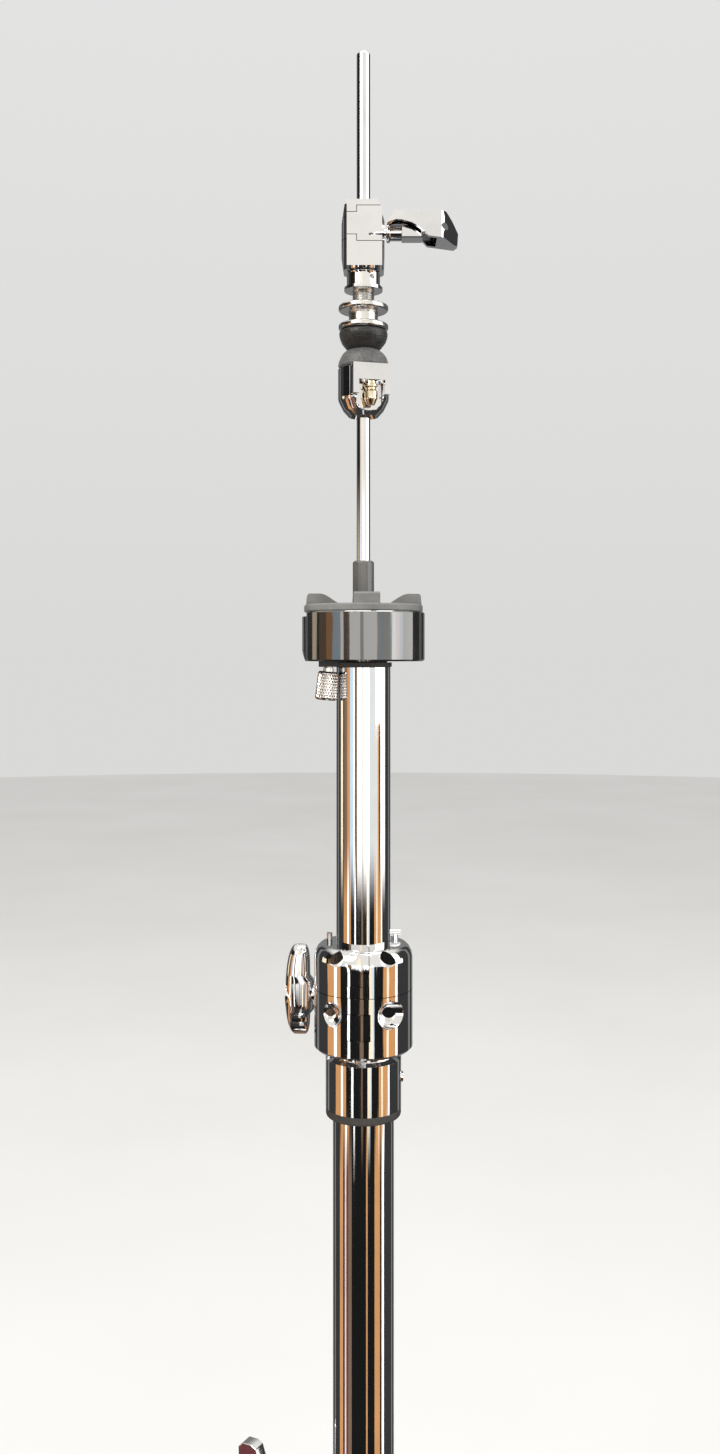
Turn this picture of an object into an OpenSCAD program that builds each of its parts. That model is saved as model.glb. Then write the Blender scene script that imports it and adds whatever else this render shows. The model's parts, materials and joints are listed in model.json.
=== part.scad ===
// Hi-hat stand with clutch: folding tripod, pedal, pull rod, telescoping tube and cymbal seat.
// Millimetres, +Z up. The origin is on the tube axis at floor level, and the pedal points to -Y.

/* [Tubes and pull rod] */
// Outer diameter of the lower tube
lower_tube_d = 28.6; // [28.4:0.1:28.8]
// Outer diameter of the upper tube
upper_tube_d = 25.4; // [25.2:0.1:25.4]
// Diameter of the pull rod
rod_d = 6.35; // [6:0.05:6.4]
// Height of the top end of the pull rod
rod_top_z = 977; // [960:1:1000]

/* [Cymbal seat] */
// Outer diameter of the seat cup
cup_d = 57.4; // [56:0.2:60]
// Outer diameter of the rubber disc on the cup
seat_disc_d = 55.6; // [54:0.2:56]
// Height of the rubber fins above the disc
fin_h = 5; // [3:0.5:6]
// Turn of the three fins about the tube axis, in degrees
fin_turn = 3.5; // [0:0.5:10]

/* [Clutch] */
// Diameter of the two lock nut flanges
lock_nut_d = 23.3; // [22:0.1:24]
// Diameter of the felts at their widest
felt_d = 23.8; // [22:0.2:24]
// Pitch of the thread on the clutch tube
thread_pitch = 1; // [0.75:0.25:1.25]

/* [Height clamp and memory lock] */
// Outer diameter of the clamp and the memory lock
clamp_d = 46; // [45:0.2:47]
// Diameter of the sleeve under the clamp
sleeve_d = 35.4; // [34.6:0.2:36]

/* [Tripod] */
// Radius from the tube axis to the leg feet
foot_radius = 290; // [270:5:310]
// Height of the leg pivots above the floor
leg_pivot_z = 282; // [276:1:286]
// Height of the brace pivots above the floor
brace_pivot_z = 160; // [158:1:162]

/* [Base and pedal] */
// Length of the footboard from the heel hinge to the chain pin
board_len = 270; // [260:1:280]
// Greatest width of the footboard
board_w = 84; // [76:1:84]
// Height of the chain pin on the footboard at rest
toe_pin_z = 95; // [92:1:96]
// Turns of the return spring
spring_turns = 9; // [6:1:12]

/* [Hidden] */
rod_r = rod_d / 2;
rod_bore = rod_r + 0.08;
tube_r = lower_tube_d / 2;
tube_bore = upper_tube_d / 2 + 0.3;
slide_fit = 0.08;
guide_bore = rod_r + 0.65;
upper_r = upper_tube_d / 2;
upper_bore = upper_r - 1.5;
tube_bottom_z = 126;
tube_top_z = 506;
upper_bottom_z = 330;
upper_top_z = 689;

// Height clamp and memory lock, from the bottom up
ring_z = 479.5;
sleeve_z = 483.5;
neck_z = 508;
clamp_z = 511;
clamp_top_z = 539;
lock_z = 539.3;
lock_top_z = 560;
clamp_r = clamp_d / 2;
sleeve_r = sleeve_d / 2;
clamp_bore = upper_r + slide_fit;
clamp_bolt_y = 17.4;
clamp_bolt_z = 531;
clamp_bolt_r = 2.6;
hinge_x = -1.9;
hinge_y = -18.4;
hinge_r = 2;
seam = 0.15;

// Cymbal seat
cup_r = cup_d / 2;
cup_z = 691.6;
cup_top_z = 714.5;
cup_wall = 3;
tilt_z = 700;
disc_top_z = 718;
guide_r = 5;
guide_top_z = 738.6;
trunnion_r = 2.5;
tilt_screw_x = -16;
tilt_screw_y = -7;
tilt_screw_lean = 5;

// Clutch, from the top down
clutch_top_z = 904;
clutch_z = 873.6;
clutch_r = 10.3;
clutch_front = 12.5;
clutch_seam = 0.3;
band_bore = 7.05;
wing_bolt_y = -9.3;
wing_bolt_z = 889;
collar_z = 866.7;
washer_z = 865;
nut_1_top_z = 858.3;
nut_1_z = 849.7;
nut_2_top_z = 849.5;
nut_2_z = 846.5;
felt_split_z = 837.4;
felt_z = 828.9;
bottom_nut_top_z = 828.6;
bottom_nut_z = 806;
thread_r = 5.15;
thread_bore = thread_r + slide_fit;

// Tripod
pivot_radius = 38;
collar_r = 22;
wing_shank_r = 3.5;
leg_pin_r = 3;
brace_pin_r = 2.5;
leg_rise = leg_pivot_z - 14;
leg_angle = atan((foot_radius - pivot_radius) / leg_rise);
leg_len = leg_rise / cos(leg_angle);
brace_drop = leg_pivot_z - brace_pivot_z;
mid_len = brace_drop / cos(leg_angle);
brace_len = brace_drop * tan(leg_angle);
leg_azimuths = [90, 210, 330];
wing_azimuth = 150;

// Base and pedal
frame_half = 52;
frame_open = 39;
frame_deep = 13;
frame_arch_z = 117;
boss_r = 22;
pad_h = 3;
heel_z = 20;
board_angle = asin((toe_pin_z - heel_z) / board_len);
heel_y = -board_len * cos(board_angle);
heel_pin_r = 3;
rod_span_x = 44;
chain_pin_r = 1.8;
chain_links = 3;
chain_pitch = 35 / chain_links;
yoke_pin_z = toe_pin_z + 35;
bush_z = 160;
spring_z = 172;
spring_top_z = 250;

// Shapes that several parts share
module ring(outer, inner, z0, z1) {
    difference() {
        translate([0, 0, z0]) cylinder(r = outer, h = z1 - z0, $fn = 96);
        translate([0, 0, z0 - 1]) cylinder(r = inner, h = z1 - z0 + 2, $fn = 96);
    }
}

module rod_x(r, x0, x1, y, z) {
    translate([x0, y, z]) rotate([0, 90, 0]) cylinder(r = r, h = x1 - x0, $fn = 48);
}

module rod_y(r, y0, y1, x, z) {
    translate([x, y1, z]) rotate([90, 0, 0]) cylinder(r = r, h = y1 - y0, $fn = 48);
}

module block(x0, x1, y0, y1, z0, z1) {
    translate([x0, y0, z0]) cube([x1 - x0, y1 - y0, z1 - z0]);
}

// A solid turned about the tube axis from an outline of [radius, height] points
module turned(points) {
    rotate_extrude($fn = 96) polygon(points);
}

// An upright plate: an outline of [x, z] points, with its thickness along Y
module plate_xz(points, y0, y1) {
    translate([0, y1, 0]) rotate([90, 0, 0]) linear_extrude(y1 - y0) polygon(points);
}

// An outline of [y, z] points, with its thickness along X
module plate_yz(points, x0, x1) {
    translate([x0, 0, 0]) rotate([90, 0, 90]) linear_extrude(x1 - x0) polygon(points);
}

// Base of the stand
module base_frame() {
    shoulder = boss_r + 2;
    outline = [
        [-frame_half, pad_h], [frame_half, pad_h], [frame_half, 24], [50, 60], [46, 96],
        [shoulder, 126], [shoulder, 132], [-shoulder, 132], [-shoulder, 126], [-46, 96],
        [-50, 60], [-frame_half, 24]
    ];
    window = [
        [-frame_open, 7], [frame_open, 7], [frame_open, 86], [34, 99], [23, 112],
        [12, frame_arch_z], [-12, frame_arch_z], [-23, 112], [-34, 99], [-frame_open, 86]
    ];
    color("#2b2c2e") difference() {
        union() {
            plate_xz(outline, -frame_deep, frame_deep);
            translate([0, 0, 118]) cylinder(r = boss_r, h = 32, $fn = 96);
        }
        plate_xz(window, -frame_deep - 1, frame_deep + 1);
        translate([0, 0, 100]) cylinder(r = tube_bore, h = 60, $fn = 96);
        translate([0, 0, tube_bottom_z]) cylinder(r = tube_r + 0.02, h = 40, $fn = 96);
        for (side = [-1, 1]) rod_y(2.55, -frame_deep - 1, 9, side * rod_span_x, 12);
    }
}

module base_pads() {
    color("#1b1b1c") {
        block(-50, 50, -12, 12, 0, pad_h);
        block(-46, 46, heel_y - 64, heel_y + 10, 0, pad_h);
    }
}

module heel_plate() {
    rest = [
        [heel_y - 66, pad_h], [heel_y + 14, pad_h], [heel_y + 14, 7], [heel_y - 9.5, 7],
        [heel_y - 9.5, 21], [heel_y - 14, 23.5], [heel_y - 40, 20], [heel_y - 60, 13],
        [heel_y - 66, 8]
    ];
    cheek = [
        [heel_y - 12, 5], [heel_y + 10, 5], [heel_y + 8, 20], [heel_y + 5, 26.5],
        [heel_y - 5, 26.5], [heel_y - 8, 22]
    ];
    color("#8d9095") difference() {
        union() {
            plate_yz(rest, -33, 33);
            block(-49, 49, heel_y - 34, heel_y + 14, pad_h, 7);
            for (side = [-1, 1]) {
                plate_yz(cheek, side * 36.5 - 2.5, side * 36.5 + 2.5);
                block(side * rod_span_x - 4.8, side * rod_span_x + 4.8,
                    heel_y - 32, heel_y - 14, 6, 17);
            }
        }
        rod_x(heel_pin_r + 0.02, -50, 50, heel_y, heel_z);
        for (side = [-1, 1]) rod_y(2.55, heel_y - 33, heel_y + 40, side * rod_span_x, 12);
    }
}

module radius_rods() {
    color("#9a9da2") for (side = [-1, 1]) {
        rod_y(2.5, heel_y - 33, 8.5, side * rod_span_x, 12);
    }
}

module heel_pin() {
    color("#b9bcc2") rod_x(heel_pin_r, -39.5, 39.5, heel_y, heel_z);
}

module lower_tube() {
    color("#c9ccd2") ring(tube_r, tube_bore, tube_bottom_z, tube_top_z);
}

module rod_bush() {
    color("#e6e4da") ring(tube_bore - 0.02, rod_bore, bush_z, spring_z);
}

module brace_collar() {
    color("#2b2c2e") difference() {
        union() {
            translate([0, 0, 152]) cylinder(r = 20, h = 16, $fn = 96);
            for (turn = leg_azimuths) rotate([0, 0, turn]) {
                block(15, pivot_radius, -3.2, 3.2, brace_pivot_z - 6, brace_pivot_z + 6);
                rod_y(6, -3.2, 3.2, pivot_radius, brace_pivot_z);
            }
        }
        translate([0, 0, 150]) cylinder(r = tube_r + 0.02, h = 20, $fn = 96);
        for (turn = leg_azimuths) rotate([0, 0, turn]) {
            rod_y(brace_pin_r + 0.02, -5, 5, pivot_radius, brace_pivot_z);
        }
    }
}

module brace_pins() {
    color("#b9bcc2") for (turn = leg_azimuths) rotate([0, 0, turn]) {
        rod_y(brace_pin_r, -6.6, 6.6, pivot_radius, brace_pivot_z);
    }
}

// Knurled dial that sets the spring tension
module spring_dial() {
    grips = 24;
    color("#3a3b3e") difference() {
        turned([[tube_r + slide_fit, 172], [20, 172], [21, 173], [21, 187], [20, 188],
            [tube_r + slide_fit, 188]]);
        for (i = [0 : grips - 1]) rotate([0, 0, i * 360 / grips]) {
            translate([21.6, 0, 171]) cylinder(r = 1.3, h = 18, $fn = 24);
        }
    }
}

// Closed helix of round wire, as rings of points joined by triangles
module return_spring() {
    sides = 6;
    steps = spring_turns * 16;
    coil_r = 8.5;
    wire_r = 1.1;
    rise = spring_top_z - spring_z - 2 * wire_r - 0.2;
    points = [
        for (i = [0 : steps], k = [0 : sides - 1])
            let (
                turn = 360 * spring_turns * i / steps,
                out = coil_r + wire_r * cos(360 * k / sides)
            )
            [
                out * cos(turn), out * sin(turn),
                spring_z + 0.1 + wire_r + rise * i / steps + wire_r * sin(360 * k / sides)
            ]
    ];
    walls = [
        for (i = [0 : steps - 1], k = [0 : sides - 1])
            let (a = i * sides + k, b = i * sides + (k + 1) % sides)
            each [[a, a + sides, b], [b, a + sides, b + sides]]
    ];
    caps = [
        [for (k = [0 : sides - 1]) k],
        [for (k = [sides - 1 : -1 : 0]) steps * sides + k]
    ];
    color("#a5a8ad") polyhedron(points = points, faces = concat(walls, caps), convexity = 10);
}

// Pedal. Its parts are drawn flat, with the heel hinge at the origin and the toe along +Y.
module on_board() {
    translate([0, heel_y, heel_z]) rotate([board_angle, 0, 0]) children();
}

module footboard() {
    half = board_w / 2;
    outline = [
        [-30, 4], [30, 4], [36, 30], [half - 2, 60], [half, 90], [half - 2, 130], [34, 180],
        [24, 225], [18, 256], [14, 262], [-14, 262], [-18, 256], [-24, 225], [-34, 180],
        [2 - half, 130], [-half, 90], [2 - half, 60], [-36, 30]
    ];
    color("#b4b7bc") on_board() difference() {
        union() {
            translate([0, 0, 2.2]) linear_extrude(4) polygon(outline);
            rod_x(6.2, -33.6, 33.6, 0, 0);
            for (row = [0 : 8]) block(-27 + row, 27 - row, 48 + row * 17, 54 + row * 17, 6, 7.2);
            for (side = [-1, 1]) block(side * 16 - 2, side * 16 + 2, 4, 220, -2, 3);
        }
        rod_x(heel_pin_r + slide_fit, -40, 40, 0, 0);
        for (row = [0 : 5]) translate([0, 74 + row * 24, 0]) cylinder(r = 4, h = 12, $fn = 32);
    }
}

// Fork under the toe that carries the chain pin with play around it
module chain_bracket() {
    color("#b9bcc2") on_board() difference() {
        union() {
            block(-9, 9, 228, 258, -1.2, 2.2);
            for (side = [-1, 1]) {
                block(side * 7.5 - 1.5, side * 7.5 + 1.5, 250, board_len, -6, 2);
                rod_x(6, side * 7.5 - 1.5, side * 7.5 + 1.5, board_len, 0);
            }
        }
        rod_x(chain_pin_r + 0.9, -12, 12, board_len, 0);
    }
}

// One side plate of a chain link, with a hole for each of its two pins
module link_plate(x0, x1) {
    difference() {
        union() {
            rod_x(4.2, x0, x1, 0, 0);
            rod_x(4.2, x0, x1, 0, chain_pitch);
            block(x0, x1, -2.6, 2.6, 0, chain_pitch);
        }
        for (end = [0, chain_pitch]) rod_x(chain_pin_r + 0.02, x0 - 1, x1 + 1, 0, end);
    }
}

module drive_chain() {
    color("#8f9298") translate([0, 0, toe_pin_z]) {
        for (i = [0 : chain_links - 1]) translate([0, 0, i * chain_pitch]) {
            near = i % 2 == 0 ? 3.6 : 2.5;
            link_plate(near, near + 1);
            link_plate(-near - 1, -near);
        }
        for (i = [0 : chain_links]) {
            half = i == 0 || i == chain_links ? 9.6 : 5;
            rod_x(chain_pin_r, -half, half, 0, i * chain_pitch);
        }
    }
}

module chain_yoke() {
    color("#b9bcc2") difference() {
        union() {
            for (side = [-1, 1]) {
                block(side * 7.6 - 1.7, side * 7.6 + 1.7, -4.4, 4.4, yoke_pin_z, 146);
                rod_x(4.4, side * 7.6 - 1.7, side * 7.6 + 1.7, 0, yoke_pin_z);
            }
            translate([0, 0, 141]) cylinder(r = 10.4, h = 9, $fn = 64);
        }
        rod_x(chain_pin_r + slide_fit, -12, 12, 0, yoke_pin_z);
        translate([0, 0, 144]) cylinder(r = rod_r + 0.02, h = 20, $fn = 64);
    }
}

module lower_rod() {
    color("#c9ccd2") translate([0, 0, 144]) cylinder(r = rod_r, h = 116, $fn = 64);
}

// Collar that joins the two rods and pushes on the return spring
module spring_collar() {
    color("#d2b46a") ring(10.5, rod_r + 0.02, spring_top_z, 272);
}

module upper_rod() {
    tip = 1;
    color("#dcdfe3") turned([[0, 260.2], [rod_r, 260.2], [rod_r, rod_top_z - tip],
        [rod_r - tip, rod_top_z], [0, rod_top_z]]);
}

// Sliding collar that carries the legs
module leg_collar() {
    color("#c9ccd2") difference() {
        turned([[tube_r + slide_fit, leg_pivot_z - 8], [collar_r - 1, leg_pivot_z - 8],
            [collar_r, leg_pivot_z - 7], [collar_r, leg_pivot_z + 7],
            [collar_r - 1, leg_pivot_z + 8], [tube_r + slide_fit, leg_pivot_z + 8]]);
        rotate([0, 0, wing_azimuth]) rod_x(wing_shank_r + slide_fit, 10, 40, 0, leg_pivot_z);
    }
}

// Lugs on the collar: one for each leg and one for the wing bolt
module collar_lugs() {
    color("#c9ccd2") difference() {
        union() {
            for (turn = leg_azimuths) rotate([0, 0, turn]) {
                block(18, pivot_radius, -6.6, 6.6, leg_pivot_z - 7, leg_pivot_z + 7);
                rod_y(7, -6.6, 6.6, pivot_radius, leg_pivot_z);
            }
            rotate([0, 0, wing_azimuth]) {
                block(18, 38, -7.5, 7.5, leg_pivot_z - 7, leg_pivot_z + 7);
            }
        }
        translate([0, 0, leg_pivot_z - 10]) cylinder(r = collar_r + 0.02, h = 20, $fn = 96);
        for (turn = leg_azimuths) rotate([0, 0, turn]) {
            rod_y(leg_pin_r + 0.02, -8, 8, pivot_radius, leg_pivot_z);
        }
        rotate([0, 0, wing_azimuth]) rod_x(wing_shank_r + slide_fit, 14, 40, 0, leg_pivot_z);
    }
}

module leg_pins() {
    color("#b9bcc2") for (turn = leg_azimuths) rotate([0, 0, turn]) {
        rod_y(leg_pin_r, -10.3, 10.3, pivot_radius, leg_pivot_z);
        for (side = [-1, 1]) {
            rod_y(4.6, side * 11 - 0.7, side * 11 + 0.7, pivot_radius, leg_pivot_z);
        }
    }
}

// Wing bolt that locks the leg collar
module collar_wing() {
    ear = [
        [39, 5], [53, 7], [59, 23], [62, 24.4], [67, 24], [69.5, 21.5], [69, 8], [68, 0],
        [69, -8], [69.5, -21.5], [67, -24], [62, -24.4], [59, -23], [53, -7], [39, -5]
    ];
    color("#d6d9de") rotate([0, 0, wing_azimuth]) translate([0, 0, leg_pivot_z]) {
        rod_x(wing_shank_r, 16.5, 40, 0, 0);
        rod_x(6.5, 38.5, 56, 0, 0);
        plate_xz(ear, -3.2, 3.2);
    }
}

// One leg and its foot are drawn in the plane of azimuth 0, with the leg pivot at the origin
module in_leg(azimuth) {
    rotate([0, 0, azimuth]) translate([pivot_radius, 0, leg_pivot_z]) {
        rotate([0, -leg_angle, 0]) children();
    }
}

module leg(azimuth) {
    color("#c9ccd2") in_leg(azimuth) difference() {
        union() {
            for (side = [-1, 1]) {
                y = side * 8.5;
                rod_y(6.5, y - 1.5, y + 1.5, 0, 0);
                block(-6.5, 6.5, y - 1.5, y + 1.5, -leg_len + 4, 0);
                rod_y(4.5, side * 10.6 - 0.9, side * 10.6 + 0.9, 0, -mid_len);
            }
            block(-6.5, 6.5, -8, 8, -leg_len + 4, -leg_len + 34);
        }
        rod_y(leg_pin_r + slide_fit, -12, 12, 0, 0);
    }
}

module foot(azimuth) {
    reach = foot_radius;
    color("#1b1b1c") rotate([0, 0, azimuth]) difference() {
        plate_xz([[reach - 15, 0], [reach + 13, 0], [reach + 17, 6], [reach + 5, 24],
            [reach - 15, 44], [reach - 30, 26], [reach - 17, 7]], -13.5, 13.5);
        translate([pivot_radius, 0, leg_pivot_z]) rotate([0, -leg_angle, 0]) {
            block(-6.52, 6.52, -10.02, 10.02, -leg_len + 3.98, 0);
        }
    }
}

module brace(azimuth) {
    color("#c9ccd2") rotate([0, 0, azimuth]) translate([pivot_radius, 0, brace_pivot_z]) {
        difference() {
            union() {
                for (side = [-1, 1]) {
                    y = side * 4.75;
                    for (end = [0, brace_len]) rod_y(5.5, y - 1.25, y + 1.25, end, 0);
                    block(0, brace_len, y - 1.25, y + 1.25, -5.5, 5.5);
                }
                block(54, 66, -4, 4, -5.5, 5.5);
            }
            rod_y(brace_pin_r + slide_fit, -8, 8, 0, 0);
        }
    }
}

module leg_1() { leg(leg_azimuths[0]); }
module leg_2() { leg(leg_azimuths[1]); }
module leg_3() { leg(leg_azimuths[2]); }
module foot_1() { foot(leg_azimuths[0]); }
module foot_2() { foot(leg_azimuths[1]); }
module foot_3() { foot(leg_azimuths[2]); }
module brace_1() { brace(leg_azimuths[0]); }
module brace_2() { brace(leg_azimuths[1]); }
module brace_3() { brace(leg_azimuths[2]); }

// Height clamp at the top of the lower tube
module clamp_sleeve() {
    color("#d6d9de") difference() {
        union() {
            turned([[10, sleeve_z], [sleeve_r, sleeve_z], [sleeve_r, neck_z - 1.5],
                [sleeve_r - 1.5, neck_z], [15.4, neck_z], [15.4, clamp_z], [10, clamp_z]]);
            rod_x(2.4, 15, sleeve_r + 0.9, 0, 497);
        }
        translate([0, 0, sleeve_z - 1]) {
            cylinder(r = tube_r + 0.02, h = tube_top_z - sleeve_z + 1, $fn = 96);
        }
        translate([0, 0, tube_top_z - 1]) cylinder(r = tube_bore, h = 10, $fn = 96);
    }
}

module bushing_ring() {
    color("#161617") turned([[tube_r + 0.02, ring_z], [sleeve_r - 0.6, ring_z],
        [sleeve_r - 0.1, ring_z + 0.8], [sleeve_r - 0.1, sleeve_z], [tube_r + 0.02, sleeve_z]]);
}

// Round-ended recess in the front of the clamp, cut outwards from x0, with a screw hole in its floor
module clamp_pocket(x0, screw_r) {
    side = sign(x0);
    translate([x0 + side * 6.5, -20.5, 530.8]) {
        sphere(r = 6.5, $fn = 64);
        rotate([0, side * 90, 0]) cylinder(r = 6.5, h = 20, $fn = 64);
    }
    rod_y(screw_r, -16, -12.4, x0 + side * 5.2, 530.2);
}

// The clamp ring before it is split, with its bolt bore, hinge bore and front recesses
module clamp_ring() {
    difference() {
        turned([[clamp_bore, clamp_z], [clamp_r - 1.2, clamp_z], [clamp_r, clamp_z + 1.2],
            [clamp_r, clamp_top_z], [clamp_bore, clamp_top_z]]);
        rod_x(clamp_bolt_r + 0.2, -30, 30, clamp_bolt_y, clamp_bolt_z);
        rod_x(5.4, 12, 30, clamp_bolt_y, clamp_bolt_z);
        rod_x(5.4, -30, -14, clamp_bolt_y, clamp_bolt_z);
        translate([hinge_x, hinge_y, clamp_z - 1]) {
            cylinder(r = hinge_r + 0.02, h = 40, $fn = 48);
        }
        for (pocket = [[6.2, 3.3], [-9.8, 2.4]]) clamp_pocket(pocket[0], pocket[1]);
    }
}

module clamp_left() {
    color("#d6d9de") intersection() {
        clamp_ring();
        union() {
            block(-30, -7.3 - seam, -30, 0, clamp_z - 1, clamp_top_z + 1);
            block(-30, 3 - seam, -30, 0, 520 + seam, 532 - seam);
            block(-30, -2.5, -1, 30, clamp_z - 1, clamp_top_z + 1);
        }
    }
}

module clamp_right() {
    color("#d6d9de") intersection() {
        clamp_ring();
        union() {
            block(3 + seam, 30, -30, 0, clamp_z - 1, clamp_top_z + 1);
            for (z0 = [clamp_z - 1, 532 + seam]) {
                z1 = z0 < 520 ? 520 - seam : clamp_top_z + 1;
                block(-7.3 + seam, 30, -30, 0, z0, z1);
            }
            block(0.5, 30, -1, 30, clamp_z - 1, clamp_top_z + 1);
        }
    }
}

module clamp_hinge_pin() {
    color("#e4e6ea") translate([hinge_x, hinge_y, 508.6]) {
        cylinder(r = hinge_r, h = 30.2, $fn = 48);
    }
}

module clamp_bolt() {
    color("#b9bcc2") {
        rod_x(clamp_bolt_r, -30, 13, clamp_bolt_y, clamp_bolt_z);
        rod_x(4.6, 13, 17, clamp_bolt_y, clamp_bolt_z);
    }
}

// Wing nut on the clamp bolt
module clamp_wing() {
    ear = [
        [-23.6, 7], [-25, 9], [-26, 22.5], [-27.5, 24], [-34, 24], [-35.6, 22.5], [-37.4, 8],
        [-37.6, 0], [-37.4, -8], [-35.6, -17.5], [-34, -19], [-27.5, -19], [-26, -17.5],
        [-25, -9], [-23.6, -7]
    ];
    color("#dcdfe3") translate([0, clamp_bolt_y, clamp_bolt_z]) difference() {
        union() {
            plate_xz(ear, -3, 3);
            rod_x(7.6, -35, -23.6, 0, 0);
        }
        rod_x(clamp_bolt_r + slide_fit, -36, -20, 0, 0);
        for (side = [-1, 1]) {
            block(-35, -28.5, side * 3.4 - 1, side * 3.4 + 1, 11, 21);
            block(-35, -28.5, side * 3.4 - 1, side * 3.4 + 1, -16, -11);
        }
    }
}

module upper_tube() {
    color("#dcdfe3") ring(upper_r, upper_bore, upper_bottom_z, upper_top_z);
}

// Memory lock: a split ring that rests on the clamp
module lock_ring() {
    difference() {
        turned([[clamp_bore - slide_fit + 0.02, lock_z], [clamp_r, lock_z], [clamp_r, 553.5],
            [clamp_r - 0.5, 556], [clamp_r - 1.6, 558.2], [clamp_r - 3, 559.5],
            [clamp_r - 4.6, lock_top_z], [clamp_bore - slide_fit + 0.02, lock_top_z]]);
        rod_x(2.2, -30, 30, clamp_bolt_y, 549);
        rod_x(4.2, 13, 30, clamp_bolt_y, 549);
        rod_x(4.2, -30, -13, clamp_bolt_y, 549);
        rod_y(3.8, -30, -16.6, -13, 556.6);
        rod_y(4.2, -30, -17.4, 11.6, 556.9);
    }
}

module memory_lock_left() {
    color("#d6d9de") {
        intersection() {
            lock_ring();
            union() {
                block(-30, -7.3 - seam, -30, 0, lock_z - 1, lock_top_z + 1);
                block(-30, 2.5 - seam, -30, 0, lock_z - 1, 544.5 - seam);
                block(-30, 2.5 - seam, -30, 0, 550.8 + seam, lock_top_z + 1);
                block(-30, -2.5, -1, 30, lock_z - 1, lock_top_z + 1);
            }
        }
        translate([-16, 6, lock_top_z - 1]) cylinder(r = 1.3, h = 4, $fn = 24);
    }
}

module memory_lock_right() {
    color("#d6d9de") {
        intersection() {
            lock_ring();
            union() {
                block(2.5 + seam, 30, -30, 0, lock_z - 1, lock_top_z + 1);
                block(-7.3 + seam, 30, -30, 0, 544.5 + seam, 550.8 - seam);
                block(0.5, 30, -1, 30, lock_z - 1, lock_top_z + 1);
            }
        }
        translate([15.2, 7, lock_top_z - 1]) cylinder(r = 1.1, h = 3, $fn = 24);
        rod_x(1.3, 12.8, 17.6, 7, lock_top_z + 3);
    }
}

module memory_bolt() {
    color("#b9bcc2") {
        rod_x(2, -15.5, 14, clamp_bolt_y, 549);
        block(14, 18, clamp_bolt_y - 2.4, clamp_bolt_y + 2.4, 546.6, 551.4);
        rod_x(3.6, -16.5, -13.2, clamp_bolt_y, 549);
    }
}

// Cymbal seat
module seat_base() {
    color("#1c1c1d") difference() {
        union() {
            translate([0, 0, 674]) cylinder(r = upper_bore - 0.02, h = 20, $fn = 96);
            translate([-2.3, 0, upper_top_z]) cylinder(r = 15.6, h = 2, $fn = 96);
            block(-20.6, -8, -12, -2, upper_top_z, upper_top_z + 3);
            translate([0, 0, 690]) cylinder(r = 9, h = 19, $fn = 96);
            rod_y(trunnion_r, -21, 21, 0, tilt_z);
        }
        translate([0, 0, 670]) cylinder(r = guide_r + 0.02, h = 50, $fn = 64);
        translate([tilt_screw_x, tilt_screw_y, 690]) rotate([0, tilt_screw_lean, 0]) {
            translate([0, 0, -6]) cylinder(r = 2 + slide_fit, h = 12, $fn = 48);
        }
    }
}

module rod_guide() {
    color("#3c3d40") turned([[guide_bore, 680], [guide_r, 680], [guide_r, guide_top_z - 0.8],
        [guide_r - 0.8, guide_top_z], [guide_bore, guide_top_z]]);
}

module seat_cup() {
    color("#1a1a1b") difference() {
        union() {
            difference() {
                turned([[0, cup_z], [cup_r - 0.8, cup_z], [cup_r, cup_z + 0.8],
                    [cup_r, cup_top_z - 0.6], [cup_r - 0.6, cup_top_z], [0, cup_top_z]]);
                translate([0, 0, cup_z - 1]) {
                    cylinder(r = cup_r - cup_wall, h = cup_top_z - cup_z - 2, $fn = 96);
                }
            }
            for (side = [-1, 1]) {
                y = side * 19.5;
                rod_y(5, y - 7, y + 7, 0, tilt_z);
                block(-5, 5, y - 7, y + 7, tilt_z, cup_top_z - 1);
            }
        }
        translate([0, 0, cup_z]) cylinder(r = 8.6, h = 40, $fn = 64);
        rod_y(trunnion_r + slide_fit, -22, 22, 0, tilt_z);
        block(-40, -26.2, -40, 40, 712.3, 720);
        plate_xz([[-40, 690], [-26.3, 690], [-28.8, 697], [-40, 697]], -40, 40);
    }
}

module seat_rubber() {
    fin_in = 9.6;
    fin_out = 26.4;
    fin_half = 5.9;
    fin_crest = 20.5;
    ramp = [
        for (i = [0 : 8])
            let (t = i / 8)
            [fin_in + (fin_crest - fin_in) * t, disc_top_z + fin_h * t * t * (3 - 2 * t)]
    ];
    outline = concat([[fin_in, disc_top_z - 1]], ramp, [
        [fin_out - 0.8, disc_top_z + fin_h], [fin_out, disc_top_z + fin_h - 0.8],
        [fin_out + 0.5, disc_top_z - 1]
    ]);
    color("#3b3b3c") difference() {
        union() {
            turned([[6, cup_top_z], [seat_disc_d / 2 - 0.5, cup_top_z],
                [seat_disc_d / 2, cup_top_z + 0.5], [seat_disc_d / 2, disc_top_z - 0.7],
                [seat_disc_d / 2 - 0.7, disc_top_z], [6, disc_top_z]]);
            for (turn = [0, 180, 270]) rotate([0, 0, turn + fin_turn]) {
                plate_xz(outline, -fin_half, fin_half);
            }
        }
        translate([0, 0, cup_top_z - 1]) cylinder(r = 7.6, h = 20, $fn = 64);
    }
}

// Thumb screw that tilts the seat, with a grooved grip
module tilt_screw() {
    grooves = 20;
    color("#e4e6ea") translate([tilt_screw_x, tilt_screw_y, 690]) {
        rotate([0, tilt_screw_lean, 0]) difference() {
            rotate_extrude($fn = 64) polygon([[0, -16.4], [4.6, -16.4], [5.2, -15.6],
                [4.7, -3.6], [4.1, -3], [2.4, -3], [2.4, -1.4], [2, -1.4], [2, 17], [0, 17]]);
            for (i = [0 : grooves - 1]) rotate([0, 0, i * 360 / grooves]) {
                translate([4.75, -0.2, -17]) cube([2, 0.4, 13.2]);
            }
        }
    }
}

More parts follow.
